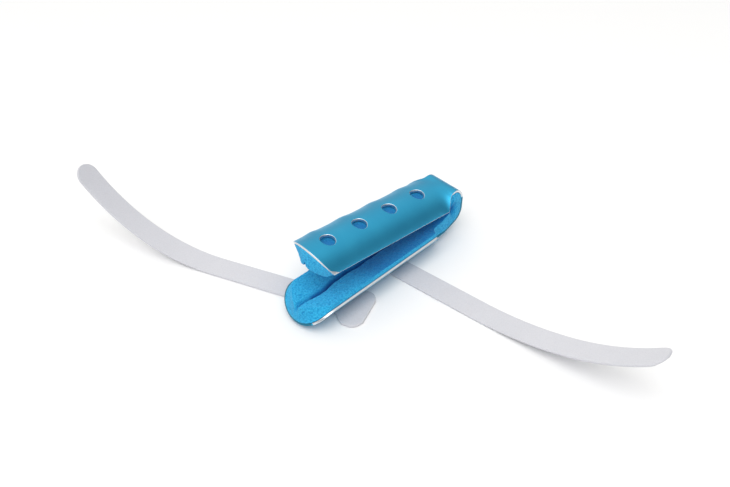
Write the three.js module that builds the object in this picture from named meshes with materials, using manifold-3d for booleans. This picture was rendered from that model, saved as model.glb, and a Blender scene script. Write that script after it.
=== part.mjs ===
// Fold-over finger splint, in millimetres, +Z up.
// A thin metal strip is folded over the fingertip: a long lower leaf curled into a trough, a narrow
// waist bent back over itself, and a shorter upper leaf arched over the finger with four holes in a
// row. A foam lining follows the strip on the inside. Two hook-and-loop straps pass under the lower
// leaf, each with a wide head on one side and a long free tail on the other.
// X runs along the splint towards the fold, Y across it. The part lies on its two straps.
import * as THREE from 'three';
import { mergeVertices } from 'three/addons/utils/BufferGeometryUtils.js';
import Module from 'manifold-3d';

const wasm = await Module();
wasm.setup();

// Metal strip: flat sizes, measured along the face that carries the foam
const STRIP_THICKNESS = 0.9;
const LOWER_HALF_WIDTH = 12.4;
const UPPER_HALF_WIDTH = 11.4;
const WAIST_HALF_WIDTH = 6.9;
const ROUND_END_LENGTH = 8.8;
const OPEN_END_BOW = 3.9;
const OPEN_END_FADE = 14;

// Curl of the two leaves, as the radius of the face that carries the foam
const TROUGH_RADIUS = 11.2;
const ARCH_RADIUS = 11.4;

// Side view of the strip, along its middle line
const LOWER_LENGTH = 60;
const RISE_RADIUS = 25;
const RISE_ANGLE = 18;
const RAMP_LENGTH = 9.4;
const FOLD_RADIUS = 5.1;
const FOLD_BACK_ANGLE = 85;
const FOLD_BACK_LENGTH = 3.4;
const UPPER_SLOPE = 6.4;
const UPPER_LENGTH = 68.6;

// Where the strip narrows to its waist and widens again
const LOWER_SHOULDER = 2.8;
const UPPER_SHOULDER = 1;
const SHOULDER_LENGTH = 4;
const FLATTENING_LENGTH = 5.2;

// Lean and offset of the upper leaf across the finger
const UPPER_ROLL = 6.7;
const UPPER_OFFSET = 1.3;

// Holes in the upper leaf
const HOLE_DIAMETER = 5.8;
const HOLE_COUNT = 4;
const HOLE_SPACING = 15.3;
const FIRST_HOLE_SETBACK = 9.6;
const HOLE_SIDES = 28;

// Foam lining
const GLUE_GAP = 0.3;
const FOAM_THICKNESS = 5.7;
const CREASE_DEPTH = 1.6;
const CREASE_SHARPNESS = 0.75;
const END_FACE_LEAN = 2.6;
const SLIT_RADIUS = 0.75;
const SLIT_SETBACK = 1.2;
const SLIT_FADE = 7;

// Straps
const STRAP_THICKNESS = 1;
const STRAP_GAP = 0.3;
const TAIL_HALF_WIDTH = 4.65;
const HEAD_HALF_WIDTH = 9.4;
const HEAD_LENGTH = 12;
const HEAD_REACH = 15;
const END_RISE_RADIUS = 63;
const END_TIP_RADIUS = 71;
const MIDDLE_RISE_RADIUS = 121;
const MIDDLE_TIP_RADIUS = 83;
const END_STRAP = {
  x: 16.4,
  turn: 110.9,
  flat: 45.9,
  curls: [{ radius: END_RISE_RADIUS, angle: 40 }, { radius: END_TIP_RADIUS, angle: 17.3 }],
  tip: { right: 1, left: 1 },
};
const MIDDLE_STRAP = {
  x: 45.7,
  turn: -85.9,
  flat: 41.1,
  curls: [{ radius: MIDDLE_RISE_RADIUS, angle: 15.8 }, { radius: MIDDLE_TIP_RADIUS, angle: 25.2 }],
  tip: { right: 1.3, left: 0.4 },
};

const rad = THREE.MathUtils.degToRad;
const lerp = THREE.MathUtils.lerp;

// A side path is a list of straight stretches and arcs. Each arc turns to the left, which is the
// side of the foam. pathPoint gives the place and heading at a distance along it.
const stretch = (length) => ({ length, turn: 0 });
const arc = (radius, degrees) => ({ length: radius * rad(degrees), turn: rad(degrees), radius });

function pathPoint(path, distance) {
  let [x, z, heading, left] = [path.start.x, path.start.z, 0, distance];
  for (const [index, piece] of path.pieces.entries()) {
    const last = index === path.pieces.length - 1;
    const run = last ? left : Math.min(left, piece.length);
    if (piece.turn === 0) {
      x += run * Math.cos(heading);
      z += run * Math.sin(heading);
    } else {
      const next = heading + run / piece.radius;
      x += piece.radius * (Math.sin(next) - Math.sin(heading));
      z += piece.radius * (Math.cos(heading) - Math.cos(next));
      heading = next;
    }
    left -= run;
    if (left <= 0) break;
  }
  return { x, z, heading };
}

const pathLength = (pieces) => pieces.reduce((sum, piece) => sum + piece.length, 0);

const STRIP_BASE = STRAP_THICKNESS + STRAP_GAP + STRIP_THICKNESS;
const strip = {
  start: { x: 0, z: STRIP_BASE },
  pieces: [
    stretch(LOWER_LENGTH),
    arc(RISE_RADIUS, RISE_ANGLE),
    stretch(RAMP_LENGTH),
    arc(FOLD_RADIUS, FOLD_BACK_ANGLE - RISE_ANGLE),
    stretch(FOLD_BACK_LENGTH),
    arc(FOLD_RADIUS, 180 - UPPER_SLOPE - FOLD_BACK_ANGLE),
    stretch(UPPER_LENGTH),
  ],
};

// Distances along the strip at which something starts or ends
const FOLD_START = pathLength(strip.pieces.slice(0, 3));
const FOLD_MIDDLE = pathLength(strip.pieces.slice(0, 4));
const FOLD_TOP = pathLength(strip.pieces.slice(0, 5));
const FOLD_END = pathLength(strip.pieces.slice(0, 6));
const STRIP_LENGTH = pathLength(strip.pieces);
const LOWER_CORNER = LOWER_LENGTH + LOWER_SHOULDER;
const LOWER_WAIST = LOWER_CORNER + SHOULDER_LENGTH;
const FLAT_START = LOWER_WAIST + FLATTENING_LENGTH;
const UPPER_WAIST = FOLD_END + UPPER_SHOULDER;
const UPPER_CORNER = UPPER_WAIST + SHOULDER_LENGTH;
const ARCH_START = UPPER_CORNER + SHOULDER_LENGTH / 2;

// Half widths along the strip. half: that of the place itself, full: that of the leaf it belongs to
const LOWER = { half: LOWER_HALF_WIDTH, full: LOWER_HALF_WIDTH };
const LOWER_NECK = { half: WAIST_HALF_WIDTH, full: LOWER_HALF_WIDTH };
const UPPER_NECK = { half: WAIST_HALF_WIDTH, full: UPPER_HALF_WIDTH };
const UPPER = { half: UPPER_HALF_WIDTH, full: UPPER_HALF_WIDTH };

// Sections along the strip. curl: 1 / radius of the section, lip: how far out the foam's edge stands
// as a share of the strip's, crease: share of the crease's depth, lean: share of the upper leaf's
// roll and offset.
const SECTIONS = [
  { at: 0, ...LOWER, curl: 1 / TROUGH_RADIUS, lip: 0.9, crease: 1, lean: 0 },
  { at: ROUND_END_LENGTH, ...LOWER, curl: 1 / TROUGH_RADIUS, lip: 0.94, crease: 1, lean: 0 },
  { at: LOWER_CORNER, ...LOWER, curl: 1 / TROUGH_RADIUS, lip: 0.96, crease: 1, lean: 0 },
  { at: LOWER_WAIST, ...LOWER_NECK, curl: 0.6 / TROUGH_RADIUS, lip: 1, crease: 0.5, lean: 0 },
  { at: FLAT_START, ...LOWER_NECK, curl: 0, lip: 1, crease: 0, lean: 0 },
  { at: FOLD_END, ...UPPER_NECK, curl: 0, lip: 1, crease: 0, lean: 0.4 },
  { at: UPPER_WAIST, ...UPPER_NECK, curl: 0.4 / ARCH_RADIUS, lip: 1, crease: 0.2, lean: 0.5 },
  { at: UPPER_CORNER, ...UPPER, curl: 0.94 / ARCH_RADIUS, lip: 0.64, crease: 0.9, lean: 0.9 },
  { at: ARCH_START, ...UPPER, curl: 1 / ARCH_RADIUS, lip: 0.59, crease: 1, lean: 1 },
  { at: STRIP_LENGTH, ...UPPER, curl: 1 / ARCH_RADIUS, lip: 0.59, crease: 1, lean: 1 },
];

// The section at a distance, read straight between two rows, except that the strip widens slowly from
// its waist and fast up to its corners, and that the lower leaf's end is rounded off
function sectionAt(distance) {
  const next = Math.max(1, SECTIONS.findIndex((row) => row.at >= distance - 1e-9));
  const [before, after] = [SECTIONS[next - 1], SECTIONS[next]];
  const share = THREE.MathUtils.clamp((distance - before.at) / (after.at - before.at), 0, 1);
  const value = (key) => lerp(before[key], after[key], share);
  const section = Object.fromEntries(Object.keys(before).map((key) => [key, value(key)]));
  const widened = after.half > before.half ? share ** 2 : 1 - (1 - share) ** 2;
  section.half = lerp(before.half, after.half, widened);
  if (distance < ROUND_END_LENGTH) {
    section.half *= Math.sqrt(1 - (1 - distance / ROUND_END_LENGTH) ** 2);
  }
  return section;
}

// Stretches between stations, each cut into equal steps
const STRETCHES = [
  { to: LOWER_CORNER, steps: 7 },
  { to: LOWER_WAIST, steps: 4 },
  { to: FLAT_START, steps: 4 },
  { to: FOLD_START, steps: 3 },
  { to: FOLD_MIDDLE, steps: 7 },
  { to: FOLD_TOP, steps: 2 },
  { to: FOLD_END, steps: 9 },
  { to: UPPER_WAIST, steps: 2 },
  { to: UPPER_CORNER, steps: 4 },
  { to: ARCH_START, steps: 2 },
  { to: STRIP_LENGTH - OPEN_END_FADE, steps: 5 },
  { to: STRIP_LENGTH, steps: 7 },
];
const ROUND_STEPS = 9;
const FIRST_ROUND_ANGLE = 9;

// Distances of the stations: close together round the end, then along the stretches
function stationList() {
  const list = [];
  for (let step = 0; step <= ROUND_STEPS; step++) {
    const angle = rad(lerp(FIRST_ROUND_ANGLE, 90, step / ROUND_STEPS));
    list.push(ROUND_END_LENGTH * (1 - Math.cos(angle)));
  }
  for (const { to, steps } of STRETCHES) {
    const from = list.at(-1);
    for (let step = 1; step <= steps; step++) list.push(lerp(from, to, step / steps));
  }
  return list;
}

// The open end is cut to a shallow bow, so points near it move back towards the sides
function bowed(distance, across) {
  const share = THREE.MathUtils.clamp((distance - STRIP_LENGTH + OPEN_END_FADE) / OPEN_END_FADE, 0, 1);
  return distance - OPEN_END_BOW * across ** 2 * share;
}

// Turns a place in a section, across the strip and inward from it, into a point of the part
function placed(distance, section, across, inward) {
  const { x, z, heading } = pathPoint(strip, distance);
  const roll = rad(UPPER_ROLL) * section.lean;
  const side = across * Math.cos(roll) + inward * Math.sin(roll) + UPPER_OFFSET * section.lean;
  const depth = inward * Math.cos(roll) - across * Math.sin(roll);
  return new THREE.Vector3(x - depth * Math.sin(heading), side, z + depth * Math.cos(heading));
}

// A point on the curled sheet, at a share of its half width and an offset inward from its foam face
function sheetPoint(distance, share, offset) {
  const section = sectionAt(distance);
  const angle = share * section.half * section.curl;
  const moved = bowed(distance, share);
  if (section.curl < 1e-4) return placed(moved, section, share * section.half, offset);
  const radius = 1 / section.curl;
  const across = (radius - offset) * Math.sin(angle);
  return placed(moved, section, across, radius - (radius - offset) * Math.cos(angle));
}

// The middle of the narrow slit round which the foam turns inside the fold
const FOAM_DEPTH = GLUE_GAP + FOAM_THICKNESS;
const slitEnd = (distance) => placed(distance, sectionAt(distance), 0, FOAM_DEPTH);
const slitEnds = [FOLD_START, FOLD_END].map(slitEnd);
const slit = slitEnds[0].clone().add(slitEnds[1]).multiplyScalar(0.5);

// How far a row of the foam's free face moves along X: inwards round the lower leaf's end, where the
// cut face leans, and back at the fold, where the slit lies short of the bend
function faceShift(distance) {
  if (distance < ROUND_END_LENGTH) {
    const cosine = 1 - distance / ROUND_END_LENGTH;
    return 2 * END_FACE_LEAN * cosine * Math.sqrt(1 - cosine ** 2);
  }
  const away = Math.max(FOLD_START - distance, distance - FOLD_END, 0);
  return -SLIT_SETBACK * Math.max(0, 1 - away / SLIT_FADE);
}

// A point on the foam's free face: creased along its middle in both leaves, wrapped round the slit
// in the fold
function foamFacePoint(distance, share) {
  const section = sectionAt(distance);
  const across = share * section.lip * foamEdge(section);
  if (distance > FOLD_START + 1e-6 && distance < FOLD_END - 1e-6) {
    const { heading } = pathPoint(strip, distance);
    const x = slit.x + SLIT_RADIUS * Math.sin(heading) + faceShift(distance);
    return new THREE.Vector3(x, across, slit.z - SLIT_RADIUS * Math.cos(heading));
  }
  const shoulder = (Math.abs(share) * section.half / section.full) ** CREASE_SHARPNESS;
  const depth = FOAM_DEPTH + CREASE_DEPTH * section.crease * shoulder;
  const point = placed(bowed(distance, share), section, across, depth);
  point.x += faceShift(distance);
  return point;
}

// Half the distance between the strip's two edges, after it is curled
function foamEdge(section) {
  if (section.curl < 1e-4) return section.half;
  return Math.sin(section.half * section.curl) / section.curl;
}

// Closes two facing grids of points into one solid, with walls round their four sides. The first grid
// is on the left of the path, and each quad's corners are given clockwise as seen from outside.
function closedShell(face, back) {
  const [rows, columns] = [face.length, face[0].length];
  const [end, side] = [rows - 1, columns - 1];
  const positions = [...face.flat(), ...back.flat()].flatMap((point) => point.toArray());
  const at = (row, column, layer) => (layer * rows + row) * columns + column;
  const index = [];
  const quad = (a, b, c, d) => index.push(a, c, b, a, d, c);
  for (let row = 0; row < end; row++) {
    for (let column = 0; column < side; column++) {
      quad(at(row, column, 0), at(row, column + 1, 0), at(row + 1, column + 1, 0), at(row + 1, column, 0));
      quad(at(row, column, 1), at(row + 1, column, 1), at(row + 1, column + 1, 1), at(row, column + 1, 1));
    }
    quad(at(row, 0, 0), at(row + 1, 0, 0), at(row + 1, 0, 1), at(row, 0, 1));
    quad(at(row + 1, side, 0), at(row, side, 0), at(row, side, 1), at(row + 1, side, 1));
  }
  for (let column = 0; column < side; column++) {
    quad(at(0, column + 1, 0), at(0, column, 0), at(0, column, 1), at(0, column + 1, 1));
    quad(at(end, column, 0), at(end, column + 1, 0), at(end, column + 1, 1), at(end, column, 1));
  }
  const geometry = new THREE.BufferGeometry();
  geometry.setAttribute('position', new THREE.Float32BufferAttribute(positions, 3));
  geometry.setIndex(index);
  return geometry;
}

const evenShares = (steps) => Array.from({ length: 2 * steps + 1 }, (_, step) => step / steps - 1);

// Geometry to solid and back, for the holes
function toSolid(geometry) {
  const bare = geometry.clone();
  bare.deleteAttribute('normal');
  bare.deleteAttribute('uv');
  const merged = mergeVertices(bare, 1e-5);
  const vertProperties = new Float32Array(merged.attributes.position.array);
  const triVerts = new Uint32Array(merged.index.array);
  return new wasm.Manifold(new wasm.Mesh({ numProp: 3, vertProperties, triVerts }));
}

function fromSolid(solid) {
  const mesh = solid.getMesh();
  const geometry = new THREE.BufferGeometry();
  geometry.setAttribute('position', new THREE.BufferAttribute(mesh.vertProperties, 3));
  geometry.setIndex(new THREE.BufferAttribute(mesh.triVerts, 1));
  return geometry;
}

// A round cutter square to the upper leaf, on its middle line
function holeCutter(distance) {
  const section = sectionAt(distance);
  const top = placed(distance, section, 0, -2 * STRIP_THICKNESS);
  const bottom = placed(distance, section, 0, STRIP_THICKNESS);
  const radius = HOLE_DIAMETER / 2;
  const cutter = new THREE.CylinderGeometry(radius, radius, top.distanceTo(bottom), HOLE_SIDES);
  const direction = top.clone().sub(bottom).normalize();
  cutter.applyQuaternion(new THREE.Quaternion().setFromUnitVectors(new THREE.Vector3(0, 1, 0), direction));
  const middle = top.add(bottom).multiplyScalar(0.5);
  return cutter.translate(middle.x, middle.y, middle.z);
}

function metalStrip() {
  const shares = evenShares(6);
  const row = (distance, offset) => shares.map((share) => sheetPoint(distance, share, offset));
  const layer = (offset) => stationList().map((distance) => row(distance, offset));
  let solid = toSolid(closedShell(layer(0), layer(-STRIP_THICKNESS)));
  for (let hole = 0; hole < HOLE_COUNT; hole++) {
    const distance = STRIP_LENGTH - FIRST_HOLE_SETBACK - hole * HOLE_SPACING;
    solid = solid.subtract(toSolid(holeCutter(distance)));
  }
  return fromSolid(solid);
}

function foamLining() {
  const shares = evenShares(6);
  const faceRow = (distance) => shares.map((share) => foamFacePoint(distance, share));
  const backRow = (distance) => shares.map((share) => sheetPoint(distance, share, GLUE_GAP));
  return closedShell(stationList().map(faceRow), stationList().map(backRow));
}

// Outline of a strap's head: distance from its end and half width, as shares of its length and of
// its half width
const HEAD_OUTLINE = [
  { along: 0, wide: 0.62 },
  { along: 0.06, wide: 0.8 },
  { along: 0.15, wide: 0.93 },
  { along: 0.27, wide: 1 },
  { along: 0.52, wide: 1 },
  { along: 0.68, wide: 0.86 },
  { along: 0.84, wide: 0.65 },
];
const TAIL_STEPS = 26;
const TIP_STEPS = 7;
const LAST_TIP_ANGLE = 82;

// A strap in its own frame: it lies along +X with the splint's middle line at 0, its head at -X and
// its tail rising at +X. A side of the tail's tip is round where its tip value is 1, and squarer below.
function strap({ flat, curls, tip }) {
  const pieces = [stretch(HEAD_REACH + flat), ...curls.map(({ radius, angle }) => arc(radius, angle))];
  const path = { start: { x: -HEAD_REACH, z: 0 }, pieces };
  const total = pathLength(pieces);
  const station = (at, right, left = right) => ({ at, right, left });
  const headStation = ({ along, wide }) => station(along * HEAD_LENGTH, wide * HEAD_HALF_WIDTH);
  const stations = HEAD_OUTLINE.map(headStation);
  const tipStart = total - TAIL_HALF_WIDTH;
  for (let step = 0; step <= TAIL_STEPS; step++) {
    stations.push(station(lerp(HEAD_LENGTH, tipStart, step / TAIL_STEPS), TAIL_HALF_WIDTH));
  }
  for (let step = 1; step <= TIP_STEPS; step++) {
    const angle = rad(LAST_TIP_ANGLE * step / TIP_STEPS);
    const side = (roundness) => TAIL_HALF_WIDTH * Math.cos(angle) ** roundness;
    stations.push(station(tipStart + TAIL_HALF_WIDTH * Math.sin(angle), side(tip.right), side(tip.left)));
  }
  const layer = (height) => stations.map(({ at, right, left }) => {
    const { x, z, heading } = pathPoint(path, at);
    const [surfaceX, surfaceZ] = [x - height * Math.sin(heading), z + height * Math.cos(heading)];
    return [-right, left].map((y) => new THREE.Vector3(surfaceX, y, surfaceZ));
  });
  return closedShell(layer(STRAP_THICKNESS), layer(0));
}

const COLOURS = { metal: 0x2a86ad, foam: 0x2b9fe0, strap: 0xdcdce2 };

function named(name, geometry, settings) {
  const smooth = geometry.clone();
  smooth.computeVertexNormals();
  const mesh = new THREE.Mesh(smooth, new THREE.MeshStandardMaterial(settings));
  mesh.name = name;
  return mesh;
}

function placedStrap(name, design) {
  const mesh = named(name, strap(design), { color: COLOURS.strap, roughness: 0.95, metalness: 0 });
  mesh.position.set(design.x, 0, 0);
  mesh.rotation.z = rad(design.turn);
  return mesh;
}

const pieces = new THREE.Group();
pieces.add(named('metal_strip', metalStrip(), { color: COLOURS.metal, roughness: 0.35, metalness: 0.85 }));
pieces.add(named('foam_lining', foamLining(), { color: COLOURS.foam, roughness: 1, metalness: 0 }));
pieces.add(placedStrap('end_strap', END_STRAP));
pieces.add(placedStrap('middle_strap', MIDDLE_STRAP));

// The part's origin is on the surface it lies on, below the middle of its box
pieces.updateMatrixWorld(true);
const middle = new THREE.Box3().setFromObject(pieces, true).getCenter(new THREE.Vector3());
pieces.position.set(-middle.x, -middle.y, 0);

const splint = new THREE.Group();
splint.add(pieces);

export default splint;
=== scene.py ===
"""Looks of the folded finger splint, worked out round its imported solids.

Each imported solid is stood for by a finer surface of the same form: the blue sheet with its bare cut
edges, the foam lining with its crease and cells, and the two pile straps. The form classes work in
millimetres in the strip's own frame, whose origin is below the middle of the lower leaf's rounded
end, on the surface that the splint lies on. `Frame.to_part` turns that into metres in the part's frame.
"""
from __future__ import annotations

import logging
import math
from dataclasses import dataclass, field
from enum import Enum
from typing import Iterable, Mapping, Sequence, Union

import bmesh
import bpy
import numpy as np
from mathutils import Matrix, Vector

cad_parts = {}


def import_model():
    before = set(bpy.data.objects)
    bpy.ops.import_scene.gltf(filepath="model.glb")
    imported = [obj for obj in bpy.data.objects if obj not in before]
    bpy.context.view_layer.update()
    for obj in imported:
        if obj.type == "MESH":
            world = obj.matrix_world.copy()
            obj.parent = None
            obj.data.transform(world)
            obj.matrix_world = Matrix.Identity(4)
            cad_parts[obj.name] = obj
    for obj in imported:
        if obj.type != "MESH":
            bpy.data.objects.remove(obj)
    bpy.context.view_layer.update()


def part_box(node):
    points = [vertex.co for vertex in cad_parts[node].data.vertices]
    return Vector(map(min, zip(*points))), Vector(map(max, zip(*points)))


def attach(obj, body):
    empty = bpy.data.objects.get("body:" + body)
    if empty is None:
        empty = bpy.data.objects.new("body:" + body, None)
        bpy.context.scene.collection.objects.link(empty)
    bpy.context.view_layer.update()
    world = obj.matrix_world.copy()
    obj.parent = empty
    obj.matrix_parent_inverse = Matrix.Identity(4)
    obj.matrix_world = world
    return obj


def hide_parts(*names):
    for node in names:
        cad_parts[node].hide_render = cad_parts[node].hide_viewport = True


LOG = logging.getLogger("finger_splint")
Array = np.ndarray
MM = 0.001


# Shader maths
Value = Union[float, int, tuple, "Signal"]
Colour = tuple[float, float, float, float]


class Signal:
    """A shader socket that takes part in Python expressions; each operator adds its Math node."""

    def __init__(self, recipe: "Recipe", socket: bpy.types.NodeSocket) -> None:
        """Wraps one output socket of a recipe's tree."""
        self.recipe, self.socket = recipe, socket

    def _math(self, operation: str, *values: Value, clamp: bool = False) -> "Signal":
        """A Math node on values in order, its result kept from 0 to 1 where clamp is true."""
        settings = {"operation": operation, "use_clamp": clamp}
        return self.recipe.node("ShaderNodeMath", settings, dict(enumerate(values)))

    def __add__(self, other: Value) -> "Signal":
        """The sum."""
        return self._math("ADD", self, other)

    __radd__ = __add__

    def __sub__(self, other: Value) -> "Signal":
        """The difference."""
        return self._math("SUBTRACT", self, other)

    def __rsub__(self, other: Value) -> "Signal":
        """The difference the other way round."""
        return self._math("SUBTRACT", other, self)

    def __mul__(self, other: Value) -> "Signal":
        """The product."""
        return self._math("MULTIPLY", self, other)

    __rmul__ = __mul__

    def __truediv__(self, other: Value) -> "Signal":
        """The quotient."""
        return self._math("DIVIDE", self, other)

    def __rtruediv__(self, other: Value) -> "Signal":
        """The quotient the other way round."""
        return self._math("DIVIDE", other, self)

    def most(self, other: Value) -> "Signal":
        """The larger of the two."""
        return self._math("MAXIMUM", self, other)

    def clamped(self) -> "Signal":
        """The value kept from 0 to 1."""
        return self._math("ADD", self, 0.0, clamp=True)

    def ramp(self, low: float, high: float) -> "Signal":
        """A smooth step from 0 at low to 1 at high."""
        settings = {"interpolation_type": "SMOOTHSTEP"}
        return self.recipe.node("ShaderNodeMapRange", settings, {0: self, 1: low, 2: high})


class Recipe:
    """The node tree of one finish or of the room, with one method that makes every node."""

    def __init__(self, owner: bpy.types.Material | bpy.types.World) -> None:
        """Empties the tree of its owner, a new material or world."""
        self.owner, owner.use_nodes = owner, True
        self.tree = owner.node_tree
        self.tree.nodes.clear()

    @classmethod
    def called(cls, name: str) -> "Recipe":
        """The recipe of a new material of that name."""
        return cls(bpy.data.materials.new(name))

    def node(
        self,
        kind: str,
        settings: Mapping[str, object] | None = None,
        values: Mapping[int | str, Value] | None = None,
        out: int | str = 0,
    ) -> Signal:
        """Adds a node, sets it and links it.

        Args:
            kind: the node's type.
            settings: the node's own settings, set before its sockets.
            values: a number, a tuple or a signal for each input, by its index or name.
            out: the output that is returned, by its index or name.

        Returns:
            That output.
        """
        made = self.tree.nodes.new(kind)
        for key, value in (settings or {}).items():
            setattr(made, key, value)
        for key, value in (values or {}).items():
            socket = made.inputs[key]
            if isinstance(value, Signal):
                self.tree.links.new(value.socket, socket)
            else:
                socket.default_value = value
        outputs = made.outputs
        return Signal(self, outputs[out]) if len(outputs) else Signal(self, made.inputs[0])

    def place(self) -> Signal:
        """Object coordinates, in metres."""
        return self.node("ShaderNodeTexCoord", out="Object")

    def attribute(self, name: str, out: str = "Fac") -> Signal:
        """A number, or with out `Vector` a vector, that the mesh carries at each point."""
        return self.node("ShaderNodeAttribute", {"attribute_name": name}, out=out)

    def noise(self, vector: Signal, scale: float, detail: float = 3.0, rough: float = 0.5) -> Signal:
        """Cloudy noise from 0 to 1, with scale cells to a unit of the coordinates."""
        values = {"Vector": vector, "Scale": scale, "Detail": detail, "Roughness": rough}
        return self.node("ShaderNodeTexNoise", None, values)

    def cells(self, vector: Signal, scale: float) -> Signal:
        """Distance, in cells, to the nearest of scattered points, scale to a unit of the coordinates."""
        return self.node("ShaderNodeTexVoronoi", {"feature": "F1"}, {"Vector": vector, "Scale": scale})

    def stretched(self, vector: Signal, scale: tuple[float, float, float]) -> Signal:
        """Coordinates multiplied by a factor along each axis."""
        return self.node("ShaderNodeVectorMath", {"operation": "MULTIPLY"}, {0: vector, 1: scale})

    def mix(self, share: Value, first: Value, second: Value) -> Signal:
        """A mix of two colours, the first where the share is 0 and the second where it is 1."""
        values = {0: share, 6: first, 7: second}
        return self.node("ShaderNodeMix", {"data_type": "RGBA"}, values, out=2)

    def bump(self, height: Signal, depth: float, strength: float, below: Signal | None = None) -> Signal:
        """A normal, on the one below it, tilted by a height whose 1 stands depth metres above its 0."""
        values = {"Strength": strength, "Distance": depth, "Height": height}
        return self.node("ShaderNodeBump", None, values | ({"Normal": below} if below else {}))

    def finish(self, values: Mapping[int | str, Value]) -> bpy.types.Material:
        """Closes the tree with a Principled shader of these values, and gives the material."""
        self.node("ShaderNodeOutputMaterial", None, {0: self.node("ShaderNodeBsdfPrincipled", None, values)})
        return self.owner


def linked(name: str, data: bpy.types.ID) -> bpy.types.Object:
    """Makes an object of some data and puts it in the scene.

    Args:
        name: the object's name.
        data: its mesh, light or camera.

    Returns:
        The object.
    """
    made = bpy.data.objects.new(name, data)
    bpy.context.scene.collection.objects.link(made)
    return made


def colour(red: float, green: float, blue: float) -> Colour:
    """A linear colour as four numbers."""
    return (red, green, blue, 1.0)


@dataclass(frozen=True)
class DyedSheet:
    """Blue anodised aluminium, bare where `bare` is 1 and at one corner, with painted shade where `bare` is
    -1.

    The bare corner is a triangle: its two legs, in millimetres, run along the near edge and along
    the open end of the flat strip.
    """

    corner: tuple[float, float]
    dyed: Colour = colour(0.034, 0.365, 0.61)
    paler: Colour = colour(0.04, 0.4, 0.65)
    # painted shade: the dark colour of the cut edge where it lies in shadow
    edge_shade_colour: Colour = colour(0.03, 0.2, 0.3)
    bare: Colour = colour(0.72, 0.75, 0.78)
    dyed_roughness: float = 0.42
    bare_roughness: float = 0.34
    legs: tuple[float, float] = (3.6, 1.9)
    cloud_scale: float = 90.0
    grain_scale: tuple[float, float, float] = (0.09, 5.0, 1.0)
    ragged_scale: float = 1400.0

    def material(self) -> bpy.types.Material:
        """The material: cloudy dye, a fine rolling grain along the strip, and bare cut edges with painted
        shade at the far tip and the waist.
        """
        recipe = Recipe.called("dyed_sheet")
        place = recipe.place()
        along = recipe.attribute("along", "Vector")
        cloud = recipe.noise(place, self.cloud_scale, 2.0)
        grain = recipe.noise(recipe.stretched(along, self.grain_scale), 1.0, 3.0, 0.6)
        ragged = recipe.noise(place, self.ragged_scale, 2.0)
        distance, across = [recipe.node("ShaderNodeSeparateXYZ", None, {0: along}, out=axis) for axis in "XY"]
        end, edge = self.corner
        corner = 1.0 - ((end - distance) / self.legs[0] + (across - edge) / self.legs[1]).ramp(0.9, 1.08)
        cut = recipe.attribute("bare")
        mask = (cut + (ragged - 0.5) * 0.5).ramp(0.35, 0.65).most(corner)
        dye = recipe.mix(cloud.ramp(0.3, 0.7), self.dyed, self.paler)
        # painted shade: the edge turns dark where `bare` falls below 0
        edge_shade_share = (0.0 - cut).ramp(0.1, 0.8)
        base = recipe.mix(mask, recipe.mix(edge_shade_share, dye, self.edge_shade_colour), self.bare)
        polish = self.bare_roughness - self.dyed_roughness
        return recipe.finish({
            "Base Color": base,
            "Metallic": 1.0,
            "Roughness": self.dyed_roughness + (grain - 0.5) * 0.08 + mask * polish,
            "Normal": recipe.bump(grain, 0.03 * MM, 0.35),
            "Coat Weight": 0.15,
            "Coat Roughness": 0.4,
        })


@dataclass(frozen=True)
class CellFoam:
    """Blue open-cell foam; `pit` is 1 in its deepest cells, and `painted_shade` is painted shade, 1 in the
    crease, also in the slit, under the upper leaf and in the holes.
    """

    light: Colour = colour(0.045, 0.51, 0.83)
    dark: Colour = colour(0.006, 0.24, 0.55)
    # painted shade: the dark blue of the crease, the slit, under the upper leaf and the holes
    crease: Colour = colour(0.003, 0.1, 0.37)
    cell_scale: float = 1700.0
    wall_scale: float = 3100.0
    cloud_scale: float = 130.0

    def material(self) -> bpy.types.Material:
        """The material: cells of two sizes, both under a millimetre, mottled from light to dark blue, with
        painted shade in the cell pits, the crease, the slit, under the upper leaf and in the holes.
        """
        recipe = Recipe.called("cell_foam")
        place = recipe.place()
        coarse = recipe.cells(place, self.cell_scale)
        walls = recipe.cells(place, self.wall_scale)
        cloud = recipe.noise(place, self.cloud_scale, 2.0)
        cells = coarse.ramp(0.3, 0.8) * 0.45 + walls.ramp(0.25, 0.75) * 0.3
        # the pit term is painted shade in the cell pits
        shade = (cells + recipe.attribute("pit") * 0.25 + (cloud - 0.5) * 0.2).clamped()
        mottled = recipe.mix(shade, self.light, self.dark)
        # painted shade: darker blue where the mesh's shade number is high
        base = recipe.mix(recipe.attribute("painted_shade"), mottled, self.crease)
        cell = recipe.bump(1.0 - walls, 0.18 * MM, 0.4)
        return recipe.finish({
            "Base Color": base,
            "Roughness": 0.95,
            "Normal": recipe.bump(1.0 - coarse, 0.25 * MM, 0.4, cell),
            "Specular IOR Level": 0.1,
            "Sheen Weight": 0.1,
            "Sheen Roughness": 0.6,
        })


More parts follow.
